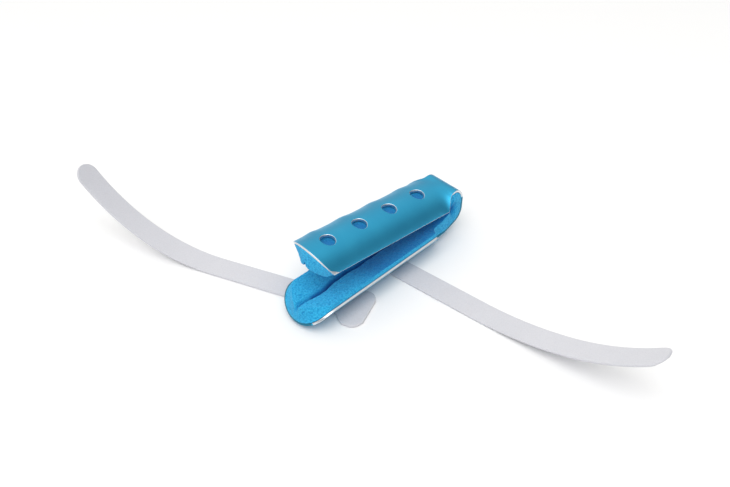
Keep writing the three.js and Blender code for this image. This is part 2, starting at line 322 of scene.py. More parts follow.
@dataclass(frozen=True)
class LoopPile:
    """White strap cloth with a short looped pile."""

    light: Colour = colour(0.66, 0.66, 0.7)
    dark: Colour = colour(0.58, 0.58, 0.62)
    nap_scale: float = 2400.0
    cloud_scale: float = 120.0
    loop_scale: tuple[float, float, float] = (2.2, 3.4, 1.0)

    def material(self) -> bpy.types.Material:
        """The material: a fine grid of loops along the strap under a short, uneven nap."""
        recipe = Recipe.called("loop_pile")
        place = recipe.place()
        nap = recipe.noise(place, self.nap_scale, 3.0, 0.6)
        cloud = recipe.noise(place, self.cloud_scale, 2.0)
        rows = recipe.cells(recipe.stretched(recipe.attribute("along", "Vector"), self.loop_scale), 1.0)
        shade = (nap.ramp(0.3, 0.75) * 0.5 + rows * 0.35 + (cloud - 0.5) * 0.4).clamped()
        loops = recipe.bump(1.0 - rows, 0.12 * MM, 0.4)
        return recipe.finish({
            "Base Color": recipe.mix(shade, self.light, self.dark),
            "Roughness": 0.9,
            "Normal": recipe.bump(nap, 0.15 * MM, 0.4, loops),
            "Specular IOR Level": 0.2,
            "Sheen Weight": 0.3,
            "Sheen Roughness": 0.5,
        })


# Numbers and meshes
def smooth(share: Array) -> Array:
    """The smooth step 3 t^2 - 2 t^3 of a share from 0 to 1."""
    share = np.clip(share, 0.0, 1.0)
    return share * share * (3.0 - 2.0 * share)


class Lattice:
    """Random numbers on a cubic lattice, read at places; they are the same in each run."""

    PRIMES = (73856093, 19349663, 83492791, 2654435761)
    MIXERS = ((13, 1274126177), (16, 2246822519))

    def __init__(self, places: Array, cell: float, seed: int) -> None:
        """Scales the places by the lattice's spacing and keeps which set of numbers to use."""
        self.scaled, self.seed = places / cell, seed
        self.base = np.floor(self.scaled).astype(np.int64)

    def hashed(self, cells: Array, seed: int) -> Array:
        """A number from 0 to 1 for each row of whole numbers, by mixing their bits.

        Args:
            cells: three whole numbers a row.
            seed: which set of numbers.

        Returns:
            The numbers.
        """
        x, y, z = [column * prime for column, prime in zip(cells.T, self.PRIMES)]
        mixed = x ^ y ^ z ^ seed * self.PRIMES[3]
        for shift, factor in self.MIXERS:
            mixed = (mixed ^ mixed >> shift) * factor & 0xFFFFFFFF
        return ((mixed ^ mixed >> 15) & 0xFFFFFF) / float(0xFFFFFF)

    def noise(self) -> Array:
        """Smooth noise from -1 to 1: the numbers at a cell's eight corners, blended by smooth steps."""
        share, total = smooth(self.scaled - self.base), 0.0
        for step in [np.array(corner)[::-1] for corner in np.ndindex(2, 2, 2)]:
            weight = np.prod(np.where(step, share, 1.0 - share), axis=1)
            total = total + weight * self.hashed(self.base + step, self.seed)
        return total * 2.0 - 1.0

    def nearest(self) -> Array:
        """Distance, in cells, to the nearest of one scattered point in each cell."""
        best = np.full(len(self.base), 9.0)
        for step in np.ndindex(3, 3, 3):
            corner = self.base + np.array(step) - 1
            jitter = np.stack([self.hashed(corner, self.seed + axis) for axis in range(3)], axis=1)
            best = np.minimum(best, np.linalg.norm(corner + jitter - self.scaled, axis=1))
        return best


@dataclass
class Net:
    """A mesh in the making: places in millimetres, quads, and numbers at each point."""

    places: Array
    quads: Array
    numbers: dict[str, Array] = field(default_factory=dict)

    def relaxed(self, rounds: int, share: Array | float = 0.5) -> None:
        """Moves each point towards the mean of its neighbours, which rounds the edges off.

        Args:
            rounds: how often.
            share: how far each time, from 0 to 1, for all points or for each.
        """
        edges = np.stack([self.quads, np.roll(self.quads, -1, axis=1)], axis=-1).reshape(-1, 2)
        edges = np.unique(np.sort(edges, axis=1), axis=0)
        count = len(self.places)
        degree = np.bincount(edges.ravel(), minlength=count)
        weight = np.broadcast_to(share, (count,))[:, None]
        for _ in range(rounds):
            sums = np.zeros_like(self.places)
            for axis in range(3):
                sums[:, axis] = np.bincount(edges[:, 0], self.places[edges[:, 1], axis], count)
                sums[:, axis] += np.bincount(edges[:, 1], self.places[edges[:, 0], axis], count)
            self.places = self.places + weight * (sums / degree[:, None] - self.places)

    def normals(self) -> Array:
        """Unit normals outwards at the points: sums of the cross products of the quads' diagonals.

        The quads of a closed net all turn the same way, so the sign of its volume says which way is out.

        Returns:
            A normal for each point.
        """
        corner = self.places[self.quads]
        cross = np.cross(corner[:, 2] - corner[:, 0], corner[:, 3] - corner[:, 1])
        volume = np.sum(corner.mean(axis=1) * cross)
        total = np.zeros_like(self.places)
        for column in self.quads.T:
            for axis in range(3):
                total[:, axis] += np.bincount(column, cross[:, axis], len(self.places))
        length = np.maximum(np.linalg.norm(total, axis=1, keepdims=True), 1e-12)
        return math.copysign(1.0, volume) * total / length


def bridged(before: Array, after: Array) -> Array:
    """Quads between two closed rings of point numbers, point to point."""
    return np.stack([before, np.roll(before, -1), np.roll(after, -1), after], axis=1)


def gridded(index: Array) -> Array:
    """Quads of a grid of point numbers, row by row."""
    return np.stack([index[:-1, :-1], index[1:, :-1], index[1:, 1:], index[:-1, 1:]], axis=-1).reshape(-1, 4)


def border(index: Array) -> Array:
    """The point numbers round a grid's border, in order."""
    return np.concatenate([index[0, :-1], index[:-1, -1], index[-1, :0:-1], index[:0:-1, 0]])


class Shell:
    """Two faces of one flat net and the walls between them; each point is a row of numbers."""

    def __init__(self, first: Array, second: Array, quads: Array) -> None:
        """Starts with the two faces, the second one turned over.

        Args:
            first: the first face's points, one a row.
            second: the second face's points, in the same order.
            quads: the first face's quads.
        """
        self.size = len(first)
        self.count = 2 * self.size
        self.rows = [first, second]
        self.quads = [quads, quads[:, ::-1] + self.size]

    def wall(self, ring: Array, steps: Iterable[Array]) -> None:
        """Joins a ring of the first face to the same ring of the second through rings of new points.

        Args:
            ring: the ring's point numbers in the first face, in order.
            steps: the points of each new ring, one a row.
        """
        before = ring
        for points in steps:
            after = np.arange(self.count, self.count + len(ring))
            self.count += len(ring)
            self.rows.append(points)
            self.quads.append(bridged(before, after))
            before = after
        self.quads.append(bridged(before, ring + self.size))

    def joined(self) -> tuple[Array, Array]:
        """The rows of all points that a quad uses, and the quads."""
        rows, quads = np.vstack(self.rows), np.vstack(self.quads)
        used = np.zeros(len(rows), dtype=bool)
        used[quads.ravel()] = True
        return rows[used], (np.cumsum(used) - 1)[quads]


@dataclass(frozen=True)
class Frame:
    """Where the strip's own frame lies in the part's frame, in millimetres."""

    tip_x: float
    middle_y: float

    def to_part(self, places: Array) -> Array:
        """Millimetres in the strip's frame as metres in the part's."""
        return (places + np.array([self.tip_x, self.middle_y, 0.0])) * MM

    def build(self, name: str, net: Net, material: bpy.types.Material) -> bpy.types.Object:
        """Makes a net an object at the origin, smooth-shaded, with its normals outwards.

        Args:
            name: the object's name.
            net: the mesh in the making.
            material: its finish.

        Returns:
            The object.
        """
        mesh = bpy.data.meshes.new(name)
        mesh.from_pydata(self.to_part(net.places).tolist(), [], net.quads.tolist())
        for key, values in net.numbers.items():
            kind, slot = ("FLOAT", "value") if values.ndim == 1 else ("FLOAT_VECTOR", "vector")
            mesh.attributes.new(key, kind, "POINT").data.foreach_set(slot, values.astype(np.float32).ravel())
        shell = bmesh.new()
        shell.from_mesh(mesh)
        bmesh.ops.recalc_face_normals(shell, faces=shell.faces)
        shell.to_mesh(mesh)
        shell.free()
        mesh.polygons.foreach_set("use_smooth", np.ones(len(mesh.polygons), dtype=bool))
        mesh.materials.append(material)
        return linked(name, mesh)


# The strip's form, shared by the sheet and the foam, in millimetres
@dataclass(frozen=True)
class Stretch:
    """A piece of a side path: its length, and its turn to the left in radians."""

    length: float
    turn: float = 0.0

    @classmethod
    def arc(cls, radius: float, degrees: float) -> "Stretch":
        """An arc of a radius and an angle."""
        return cls(radius * math.radians(degrees), math.radians(degrees))


class SidePath:
    """A path in the plane of X and Z, made of straight stretches and arcs."""

    def __init__(self, start_z: float, pieces: Sequence[Stretch]) -> None:
        """Works out where each piece starts.

        Args:
            start_z: the height at distance 0.
            pieces: the stretches in order.
        """
        self.lengths = np.array([piece.length for piece in pieces])
        self.turns = np.array([piece.turn for piece in pieces])
        self.marks = np.concatenate([[0.0], np.cumsum(self.lengths)])
        self.starts = np.zeros((len(pieces), 3))
        self.starts[0, 1] = start_z
        for index in range(1, len(pieces)):
            before = self._along(np.array([index - 1]), self.lengths[index - 1:index])
            self.starts[index] = np.ravel(before)

    def _along(self, piece: Array, run: Array) -> tuple[Array, Array, Array]:
        """Place and heading at a run along a piece: a line, or a turn at the piece's rate."""
        x, z, heading = self.starts[piece].T
        rate = self.turns[piece] / self.lengths[piece]
        turned = heading + rate * run
        safe = np.where(rate == 0.0, 1.0, rate)
        ahead = np.where(rate == 0.0, run * np.cos(heading), (np.sin(turned) - np.sin(heading)) / safe)
        rise = np.where(rate == 0.0, run * np.sin(heading), (np.cos(heading) - np.cos(turned)) / safe)
        return x + ahead, z + rise, turned

    def at(self, distance: Array) -> tuple[Array, Array, Array]:
        """x, z and the heading in radians at distances along the path."""
        piece = np.clip(np.searchsorted(self.marks, distance, side="right") - 1, 0, len(self.lengths) - 1)
        return self._along(piece, distance - self.marks[piece])


@dataclass
class Section:
    """The cross-section at some distances along the strip.

    It holds the half width, the half width of the whole leaf there, the curl as one over a radius, the
    share of the half chord that the foam's face spans, how deep the foam's crease is, and the share of
    the upper leaf's roll and offset.
    """

    half: Array
    full: Array
    curl: Array
    lip: Array
    crease: Array
    lean: Array


@dataclass
class StripForm:
    """Sizes of the folded strip, in millimetres and degrees, and the places they give."""

    thickness: float = 0.9
    lower_half: float = 12.4
    upper_half: float = 11.4
    waist_half: float = 6.9
    round_end: float = 8.8
    open_bow: float = 3.9
    open_fade: float = 14.0
    trough_radius: float = 11.2
    arch_radius: float = 11.4
    lower_length: float = 60.0
    rise_radius: float = 25.0
    rise_angle: float = 18.0
    ramp: float = 9.4
    fold_radius: float = 5.1
    fold_back_angle: float = 85.0
    fold_back: float = 3.4
    upper_slope: float = 6.4
    upper_length: float = 68.6
    lower_shoulder: float = 2.8
    upper_shoulder: float = 1.0
    shoulder: float = 4.0
    flattening: float = 5.2
    roll: float = 6.7
    offset: float = 1.3
    softness: float = 1.3
    strap_thickness: float = 1.0
    strap_gap: float = 0.3
    hole_diameter: float = 5.8
    hole_count: int = 4
    hole_spacing: float = 15.3
    first_hole: float = 9.6

    def __post_init__(self) -> None:
        """Works out the side path, its marks and the table of sections."""
        self.path = SidePath(self.strap_thickness + self.strap_gap + self.thickness, [
            Stretch(self.lower_length),
            Stretch.arc(self.rise_radius, self.rise_angle),
            Stretch(self.ramp),
            Stretch.arc(self.fold_radius, self.fold_back_angle - self.rise_angle),
            Stretch(self.fold_back),
            Stretch.arc(self.fold_radius, 180.0 - self.upper_slope - self.fold_back_angle),
            Stretch(self.upper_length),
        ])
        marks = self.path.marks
        self.fold_start, self.fold_middle, self.fold_top, self.fold_end, self.length = marks[3:8]
        self.lower_corner = self.lower_length + self.lower_shoulder
        self.lower_waist = self.lower_corner + self.shoulder
        self.flat_start = self.lower_waist + self.flattening
        self.upper_waist = self.fold_end + self.upper_shoulder
        self.upper_corner = self.upper_waist + self.shoulder
        self.arch_start = self.upper_corner + self.shoulder / 2.0
        trough, arch = 1.0 / self.trough_radius, 1.0 / self.arch_radius
        low, neck, high = self.lower_half, self.waist_half, self.upper_half
        names = ("at", "half", "full", "curl", "lip", "crease", "lean")
        rows = [
            (0.0, low, low, trough, 0.9, 1.0, 0.0),
            (self.round_end, low, low, trough, 0.94, 1.0, 0.0),
            (self.lower_corner, low, low, trough, 0.96, 1.0, 0.0),
            (self.lower_waist, neck, low, 0.6 * trough, 1.0, 0.5, 0.0),
            (self.flat_start, neck, low, 0.0, 1.0, 0.0, 0.0),
            (self.fold_end, neck, high, 0.0, 1.0, 0.0, 0.4),
            (self.upper_waist, neck, high, 0.4 * arch, 1.0, 0.2, 0.5),
            (self.upper_corner, high, high, 0.94 * arch, 0.64, 0.9, 0.9),
            (self.arch_start, high, high, arch, 0.59, 1.0, 1.0),
            (self.length, high, high, arch, 0.59, 1.0, 1.0),
        ]
        self.table = dict(zip(names, np.array(rows).T))

    def section(self, distance: Array) -> Section:
        """The section at some distances, blended smoothly between the table's rows.

        The curl and the lean are means over a short stretch, as a sheet can't change its curl at once.
        The half width grows with the square of the way from the waist to a corner, which gives the
        concave shoulders, and follows an ellipse round the lower leaf's end.

        Args:
            distance: distances along the strip.

        Returns:
            The section.
        """
        low, high, way = self.column("half", distance)
        widened = np.where(high > low, way ** 2, 1.0 - (1.0 - way) ** 2)
        half = low + (high - low) * widened
        inside = np.clip(1.0 - distance / self.round_end, 0.0, 1.0)
        half = half * np.sqrt(np.maximum(1.0 - inside ** 2, 0.0))
        shifts = np.linspace(-self.softness, self.softness, 7)
        curl, lean = [sum(self.blended(key, distance + shift) for shift in shifts) / len(shifts)
                      for key in ("curl", "lean")]
        full, lip, crease = [self.blended(key, distance) for key in ("full", "lip", "crease")]
        return Section(half, full, curl, lip, crease, lean)

    def column(self, key: str, distance: Array) -> tuple[Array, Array, Array]:
        """One column's values in the rows before and after each distance, and the way between them."""
        marks, values = self.table["at"], self.table[key]
        after = np.clip(np.searchsorted(marks, distance), 1, len(marks) - 1)
        way = np.clip((distance - marks[after - 1]) / (marks[after] - marks[after - 1]), 0.0, 1.0)
        return values[after - 1], values[after], way

    def blended(self, key: str, distance: Array) -> Array:
        """One column, blended by smooth steps between its rows."""
        low, high, way = self.column(key, distance)
        return low + (high - low) * smooth(way)

    def bowed(self, distance: Array, share: Array) -> Array:
        """Distances moved back towards the sides at the open end, by a bow times the share squared."""
        fade = np.clip((distance - self.length + self.open_fade) / self.open_fade, 0.0, 1.0)
        return distance - self.open_bow * share ** 2 * fade

    def placed(self, distance: Array, lean: Array, across: Array, inward: Array) -> Array:
        """Places across the strip and inward from it, turned by the upper leaf's roll.

        Args:
            distance: distances along the strip.
            lean: the share of the roll and offset.
            across: how far across, towards +Y.
            inward: how far towards the foam.

        Returns:
            The places, one a row.
        """
        x, z, heading = self.path.at(distance)
        roll = math.radians(self.roll) * lean
        side = across * np.cos(roll) + inward * np.sin(roll) + self.offset * lean
        depth = inward * np.cos(roll) - across * np.sin(roll)
        return np.stack([x - depth * np.sin(heading), side, z + depth * np.cos(heading)], axis=-1)

    def sheet(self, distance: Array, across: Array, inward: Array) -> Array:
        """Places on the curled sheet: an arc across the strip, at a depth inward from its foam side.

        Args:
            distance: distances along the flat strip.
            across: distances across the flat strip.
            inward: depth towards the foam.

        Returns:
            The places, one a row.
        """
        section = self.section(distance)
        flat = section.curl < 1e-4
        curl = np.where(flat, 1.0, section.curl)
        angle = across * curl
        reach = 1.0 / curl - inward
        over = np.where(flat, across, reach * np.sin(angle))
        under = np.where(flat, inward, 1.0 / curl - reach * np.cos(angle))
        share = np.clip(across / np.maximum(section.half, 0.5), -1.0, 1.0)
        return self.placed(self.bowed(distance, share), section.lean, over, under)

    def bends(self) -> list[float]:
        """The distances where the strip's form changes, from the rounded end to the upper corner."""
        return [self.round_end, self.lower_corner, self.lower_waist, self.flat_start, self.fold_start,
                self.fold_middle, self.fold_top, self.fold_end, self.upper_waist, self.upper_corner]

    def hole_distances(self) -> Array:
        """Distances of the hole centres along the strip."""
        return self.length - self.first_hole - self.hole_spacing * np.arange(self.hole_count)


def spread(marks: Sequence[float], steps: Sequence[int]) -> Array:
    """All marks, with so many even steps between each two."""
    parts = [np.linspace(*ends, count, endpoint=False) for *ends, count in zip(marks, marks[1:], steps)]
    return np.concatenate([*parts, [marks[-1]]])


class Blank:
    """The flat pattern of the strip, as a net with an open ring at each hole."""

    PATCH = 10
    COLUMNS = 50
    CELL = 0.45
    RING_STEPS = 8
    RING_GROWTH = 1.25
    STEPS = (108, 14, 12, 12, 24, 7, 32, 3, 14, 4, 4)
    BETWEEN_HOLES = 14
    PAST_HOLES = 11

    def __init__(self, form: StripForm, inset: float, hole_gap: float) -> None:
        """Keeps the form, and how far the net stays from the outline and from a hole's circle."""
        self.form, self.inset, self.hole_gap = form, inset, hole_gap

    def lines(self) -> tuple[Array, Array, Array]:
        """The net's lines across the strip.

        Returns:
            Their distances, half widths, and the first line of each hole's patch.
        """
        form, reach = self.form, self.PATCH * self.CELL
        turn = np.radians(np.linspace(3.0, 90.0, 27)[:-1])
        round_at = form.round_end - (form.round_end - self.inset) * np.cos(turn)
        round_half = (form.lower_half - self.inset) * np.sin(turn)
        marks, steps, firsts = [*form.bends(), form.arch_start], list(self.STEPS), []
        for hole in np.sort(form.hole_distances()):
            firsts.append(sum(steps) + len(turn))
            marks += [hole - reach, hole + reach]
            steps += [2 * self.PATCH, self.BETWEEN_HOLES]
        straight = spread([*marks, form.length - self.inset], [*steps[:-1], self.PAST_HOLES])
        half = form.section(straight).half - self.inset
        return np.concatenate([round_at, straight]), np.concatenate([round_half, half]), np.array(firsts)

    def net(self) -> tuple[Array, Array, list[Array]]:
        """Lays out the net: a plain grid, with rings round each hole in place of a square patch.

        A ring's points lie between the circle and the patch's border, on the border point's ray.

        Returns:
            The points' places along and across, the quads, and the rings: the outline and the holes.
        """
        line_at, line_half, firsts = self.lines()
        rows, columns = len(line_at), self.COLUMNS + 1
        across = line_half[:, None] * np.linspace(-1.0, 1.0, columns)
        index = np.arange(rows * columns).reshape(rows, columns)
        kept = np.ones((rows - 1, columns - 1), dtype=bool)
        left, right = self.COLUMNS // 2 - self.PATCH, self.COLUMNS // 2 + self.PATCH
        points = [np.stack([np.repeat(line_at, columns), across.ravel()], axis=1)]
        quads, rings, count = [], [border(index)], rows * columns
        radius = self.form.hole_diameter / 2.0 + self.hole_gap
        for first, hole in zip(firsts, np.sort(self.form.hole_distances())):
            last = first + 2 * self.PATCH
            kept[first:last, left:right] = False
            before = border(index[first:last + 1, left:right + 1])
            outer = points[0][before]
            ray = outer - np.array([hole, 0.0])
            circle = np.array([hole, 0.0]) + ray / np.linalg.norm(ray, axis=1, keepdims=True) * radius
            for step in range(self.RING_STEPS - 1, -1, -1):
                share = (step / self.RING_STEPS) ** self.RING_GROWTH
                points.append(circle + (outer - circle) * share)
                ring = np.arange(count, count + len(before))
                count += len(before)
                quads.append(bridged(before, ring))
                before = ring
            rings.append(before)
        quads.append(gridded(index)[kept.ravel()])
        return np.vstack(points), np.vstack(quads), rings


def outward(ring: Array) -> Array:
    """Unit normals of a closed ring, to the left of its direction, from its neighbours' chord.

    Args:
        ring: places along and across, in order.

    Returns:
        A normal for each place.
    """
    chord = np.roll(ring, -1, axis=0) - np.roll(ring, 1, axis=0)
    normal = np.stack([-chord[:, 1], chord[:, 0]], axis=1)
    return normal / np.maximum(np.linalg.norm(normal, axis=1, keepdims=True), 1e-9)


class BlueSheet:
    """The folded metal strip: two faces of one flat net, joined by rounded cut edges.

    An edge's three numbers say how bare the lines of its outer quarter round are. Painted shade darkens the
    cut edge on the far side of `TIP_SIDE` up to `PAST_ROUND` beyond the rounded end, and round the waist.
    """

    INSET = 0.16
    HOLE_GAP = 0.04
    HOLE_ROUNDING = 0.3
    CUT_EDGE = (0.7, 1.0, 1.0)
    PUNCHED_EDGE = (0.0, 0.7, 1.0)
    BURR = 0.22
    BULGE = 0.35
    BULGE_REACH = (3.2, 3.0)
    BULGE_ACROSS = 8.5
    TIP_SIDE = -7.2
    PAST_ROUND = 3.0
    BEFORE_WAIST = 0.6
    PAST_FOLD = 1.4
    EDGE_SHADE_FADE = 0.8

    def __init__(self, form: StripForm, frame: Frame, finish: DyedSheet) -> None:
        """Keeps the strip's sizes, where it lies and its finish."""
        self.form, self.frame, self.finish = form, frame, finish

    def edge_profile(
        self, inset: float, dye: tuple[float, float, float], burr: float
    ) -> list[tuple[float, float, float]]:
        """The cut edge from the outer face to the foam side: a quarter round, a wall, a quarter round.

        Args:
            inset: the radius of the quarter round.
            dye: how bare the three lines of the first quarter round are.
            burr: how far the wall reaches past the foam side, in place of the second quarter round.

        Returns:
            For each line of it, how far out it lies, its depth, and how bare it is.
        """
        thickness = self.form.thickness
        angles = [math.radians(angle) for angle in (22.0, 45.0, 68.0)]
        quarter = [(math.sin(angle) * inset, (1.0 - math.cos(angle)) * inset) for angle in angles]
        outer = [(out, rise - thickness, bare) for (out, rise), bare in zip(quarter, dye)]
        inner = [(out, -rise, 1.0) for out, rise in reversed(quarter)]
        wall = [(inset, -share * (thickness - inset), 1.0) for share in (0.85, 0.6, 0.35)]
        lip = [(inset, 0.0, 1.0), (inset, burr, 1.0), (0.4 * inset, 0.8 * burr, 1.0)]
        return outer + wall + (lip if burr > 0.0 else inner)

    def bulge(self, along: Array, across: Array) -> Array:
        """How far the sheet stands out beside each hole, on the far side: a bell for each hole."""
        (long, wide), result = self.BULGE_REACH, np.zeros(len(along))
        for hole in self.form.hole_distances():
            result += np.exp(-((along - hole) / long) ** 2 - ((across - self.BULGE_ACROSS) / wide) ** 2)
        return self.BULGE * result

    def painted_edge_shade(self, along: Array, across: Array) -> Array:
        """Where painted shade darkens the cut edge: round the lower leaf's far tip, and at the waist.

        Args:
            along: distances along the flat strip.
            across: distances across it.

        Returns:
            From 0 on a bare edge to 2 on a dark one, by products of smooth steps.
        """
        form, fade = self.form, self.EDGE_SHADE_FADE
        after_tip = smooth((form.round_end + self.PAST_ROUND - along) / fade)
        tip = smooth((across - self.TIP_SIDE) / fade) * after_tip
        after_waist = smooth((form.fold_top + self.PAST_FOLD - along) / fade)
        waist = smooth((along - form.lower_waist + self.BEFORE_WAIST) / fade) * after_waist
        return 2.0 * np.maximum(tip, waist)

    def net(self) -> Net:
        """Carries the flat net onto both faces and closes its outline and holes.

        Returns:
            The closed mesh.
        """
        flat, quads, rings = Blank(self.form, self.INSET, self.HOLE_GAP).net()
        none = np.zeros(len(flat))
        outer = np.column_stack([flat, none - self.form.thickness, none])
        shell = Shell(outer, np.column_stack([flat, none, none]), quads)
        cut = self.edge_profile(self.INSET, self.CUT_EDGE, 0.0)
        punched = self.edge_profile(self.HOLE_ROUNDING, self.PUNCHED_EDGE, self.BURR)
        for number, ring in enumerate(rings):
            line = flat[ring]
            inwards = line.mean(axis=0) - line
            normal = inwards / np.linalg.norm(inwards, axis=1, keepdims=True) if number else outward(line)
            # painted shade: from 1 on a bare edge to -1 on a shaded one
            unshaded = 1.0 - self.painted_edge_shade(line[:, 0], line[:, 1])
            steps = [np.column_stack([line + normal * out, np.full(len(ring), depth), unshaded * share])
                     for out, depth, share in (punched if number else cut)]
            shell.wall(ring, steps)
        rows, quads = shell.joined()
        along, across, depth, bare = rows.T
        places = self.form.sheet(along, across, depth - self.bulge(along, across))
        return Net(places, quads, {"bare": bare, "along": rows[:, :3]})

    def build(self) -> bpy.types.Object:
        """Makes the piece, hangs it on the root body and hides the solid it stands for."""
        piece = self.frame.build("blue_sheet", self.net(), self.finish.material())
        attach(piece, "root")
        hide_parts("metal_strip")
        return piece


@dataclass
class FoamSizes:
    """Sizes of the foam lining, in millimetres; a painted shade is a share from 0 to 1.

    The crease's waves are rows of height, length over a radian, and phase.
    """

    glue_gap: float = 0.12
    thickness: float = 5.88
    crease_depth: float = 1.6
    crease_sharpness: float = 0.75
    end_lean: float = 2.6
    slit_radius: float = 0.75
    slit_setback: float = 1.2
    slit_fade: float = 7.0
    wander: float = 1.2
    wander_at: float = 9.0
    wander_length: float = 6.0
    waves: tuple[tuple[float, float, float], ...] = ((0.25, 2.9, 0.0), (0.15, 1.3, 1.0))
    near_fill: float = 0.2
    near_depth: float = 0.8
    groove: float = 1.6
    groove_reach: float = 0.5
    # painted shade: how dark the crease, the slit, the foam under the upper leaf and under the holes are
    # painted
    shade_start: float = 1.5
    shade_fade: float = 6.0
    shade_far_side: float = 2.6
    slit_shade: float = 0.9
    slit_shade_reach: float = 6.0
    slit_shade_fade: float = 5.0
    cover_shade: float = 0.6
    cover_start: float = 20.0
    cover_fade: float = 14.0
    hole_shade: float = 0.75
    dimple: float = 1.2
    dimple_reach: float = 3.3
    pinch: float = 1.8
    pinch_at: tuple[float, float] = (75.1, 12.2)
    pinch_reach: tuple[float, float] = (1.2, 2.4)
    pinch_side: float = -4.0
    pinch_fade: float = 2.5
    lump: float = 0.08
    lump_cells: tuple[float, float] = (3.1, 1.3)
    pit: float = 0.14
    pit_cell: float = 0.7


class FoamLining:
    """The foam that follows the strip inside: a creased face, the strip's form behind, cut walls.

    A share of the half width goes from -1 on the near side to 1 on the far side.
    """

    STEPS = (130, 12, 12, 12, 20, 7, 26, 3, 12, 152)
    COLUMNS = 90
    WALL_STEPS = 14
    CENTRE_PITCH = 0.6
    ROUNDING = 3
    LUMP_SEEDS = (11, 12)
    PIT_SEED = 13

    def __init__(self, form: StripForm, sizes: FoamSizes, frame: Frame, finish: CellFoam) -> None:
        """Keeps the strip's sizes, the foam's own, where they lie and the finish."""
        self.form, self.sizes, self.frame, self.finish = form, sizes, frame, finish

    def lines(self) -> Array:
        """Distances of the lines across the foam, close together round the end and in the fold."""
        form = self.form
        turn = np.radians(np.linspace(6.0, 90.0, 24)[:-1])
        straight = spread([*form.bends(), form.length], self.STEPS)
        return np.concatenate([form.round_end * (1.0 - np.cos(turn)), straight])

    def face(self, distance: Array, share: Array) -> Array:
        """The free face: a depth that grows from the crease with a power of the way to the lip.

        In the fold the face wraps round a narrow slit, at the heading of the strip.

        Args:
            distance: distances along the strip.
            share: shares of the half width.

        Returns:
            The places, one a row.
        """
        form, sizes = self.form, self.sizes
        section = form.section(distance)
        flat = section.curl < 1e-4
        curl = np.where(flat, 1.0, section.curl)
        edge = np.where(flat, section.half, np.sin(section.half * curl) / curl)
        near = section.lean * np.clip(-share, 0.0, 1.0)
        across = share * section.lip * edge * (1.0 + sizes.near_fill * near)
        from_crease = self.from_crease(distance, share)
        way = np.sqrt(from_crease ** 2 + 0.0009) * section.half / section.full
        rise = sizes.crease_depth * section.crease * way ** sizes.crease_sharpness
        groove = sizes.groove * section.crease * self.groove(distance, share)
        depth = sizes.glue_gap + sizes.thickness + rise - groove + sizes.near_depth * near
        places = form.placed(form.bowed(distance, share), section.lean, across, depth)
        places[:, 0] += self.shift(distance)
        inside = (distance > form.fold_start + 1e-6) & (distance < form.fold_end - 1e-6)
        heading = form.path.at(distance)[2]
        slit = self.slit()
        wrapped = np.stack([
            slit[0] + sizes.slit_radius * np.sin(heading) + self.shift(distance),
            across,
            slit[2] - sizes.slit_radius * np.cos(heading),
        ], axis=1)
        return np.where(inside[:, None], wrapped, places)

    def from_crease(self, distance: Array, share: Array) -> Array:
        """The way from the crease to the lip; the crease wanders off the middle line.

        Args:
            distance: distances along the strip.
            share: shares of the half width.

        Returns:
            The way, from -1 to 1, and 0 on the crease.
        """
        sizes = self.sizes
        bell = np.exp(-((distance - sizes.wander_at) / sizes.wander_length) ** 2)
        wave = sum(height * np.sin(distance / length + phase) for height, length, phase in sizes.waves)
        crease = (wave - sizes.wander * bell) / self.form.lower_half
        return (share - crease) / np.where(share > crease, 1.0 - crease, 1.0 + crease)

    def groove(self, distance: Array, share: Array, far_side: float = 1.3) -> Array:
        """How far into the crease a place lies: a bell with a steep near side and a slower far side.

        Args:
            distance: distances along the strip.
            share: shares of the half width.
            far_side: how many times slower the far side is.

        Returns:
            A share from 0 to 1.
        """
        section = self.form.section(distance)
        off = self.from_crease(distance, share) * section.half
        reach = np.where(off < 0.0, 1.0, far_side) * self.sizes.groove_reach
        return np.exp(-(off / reach) ** 2) * section.crease

    def shade_share(self, distance: Array, share: Array) -> Array:
        """How much painted shade the foam's face gets: most in the crease and the slit, a little under the
        upper leaf.

        Args:
            distance: distances along the strip.
            share: shares of the half width.

        Returns:
            A share from 0 to 1, the largest of the three.
        """
        sizes, reach = self.sizes, self.sizes.slit_shade_reach
        crease = self.groove(distance, share, sizes.shade_far_side)
        crease = crease * smooth((distance - sizes.shade_start) / sizes.shade_fade)
        before = smooth((distance - self.form.fold_start + reach) / sizes.slit_shade_fade)
        slit = before * smooth((self.form.fold_end + reach - distance) / sizes.slit_shade_fade)
        cover = sizes.cover_shade * smooth((distance - sizes.cover_start) / sizes.cover_fade)
        return np.maximum(np.maximum(crease, sizes.slit_shade * slit), cover)

    def pinched(self, places: Array) -> Array:
        """Where the near wall is pinched in at the end of the slit: a bell in the plane of X and Z."""
        (x, z), (wide, high) = self.sizes.pinch_at, self.sizes.pinch_reach
        bell = np.exp(-((places[:, 0] - x) / wide) ** 2 - ((places[:, 2] - z) / high) ** 2)
        return bell * smooth((self.sizes.pinch_side - places[:, 1]) / self.sizes.pinch_fade)

    def dimples(self, distance: Array, across: Array) -> Array:
        """How far the foam's back falls away under the holes: a flat-bottomed bell round each centre."""
        holes = self.form.hole_distances()
        away = np.hypot(distance[:, None] - holes[None, :], across[:, None]).min(axis=1)
        return self.sizes.dimple * np.exp(-(away / self.sizes.dimple_reach) ** 6)

    def slit(self) -> Array:
        """The middle of the slit: half way between the foam's faces at both ends of the fold."""
        ends = np.array([self.form.fold_start, self.form.fold_end])
        depth = np.full(2, self.sizes.glue_gap + self.sizes.thickness)
        return self.form.placed(ends, self.form.section(ends).lean, np.zeros(2), depth).mean(axis=0)

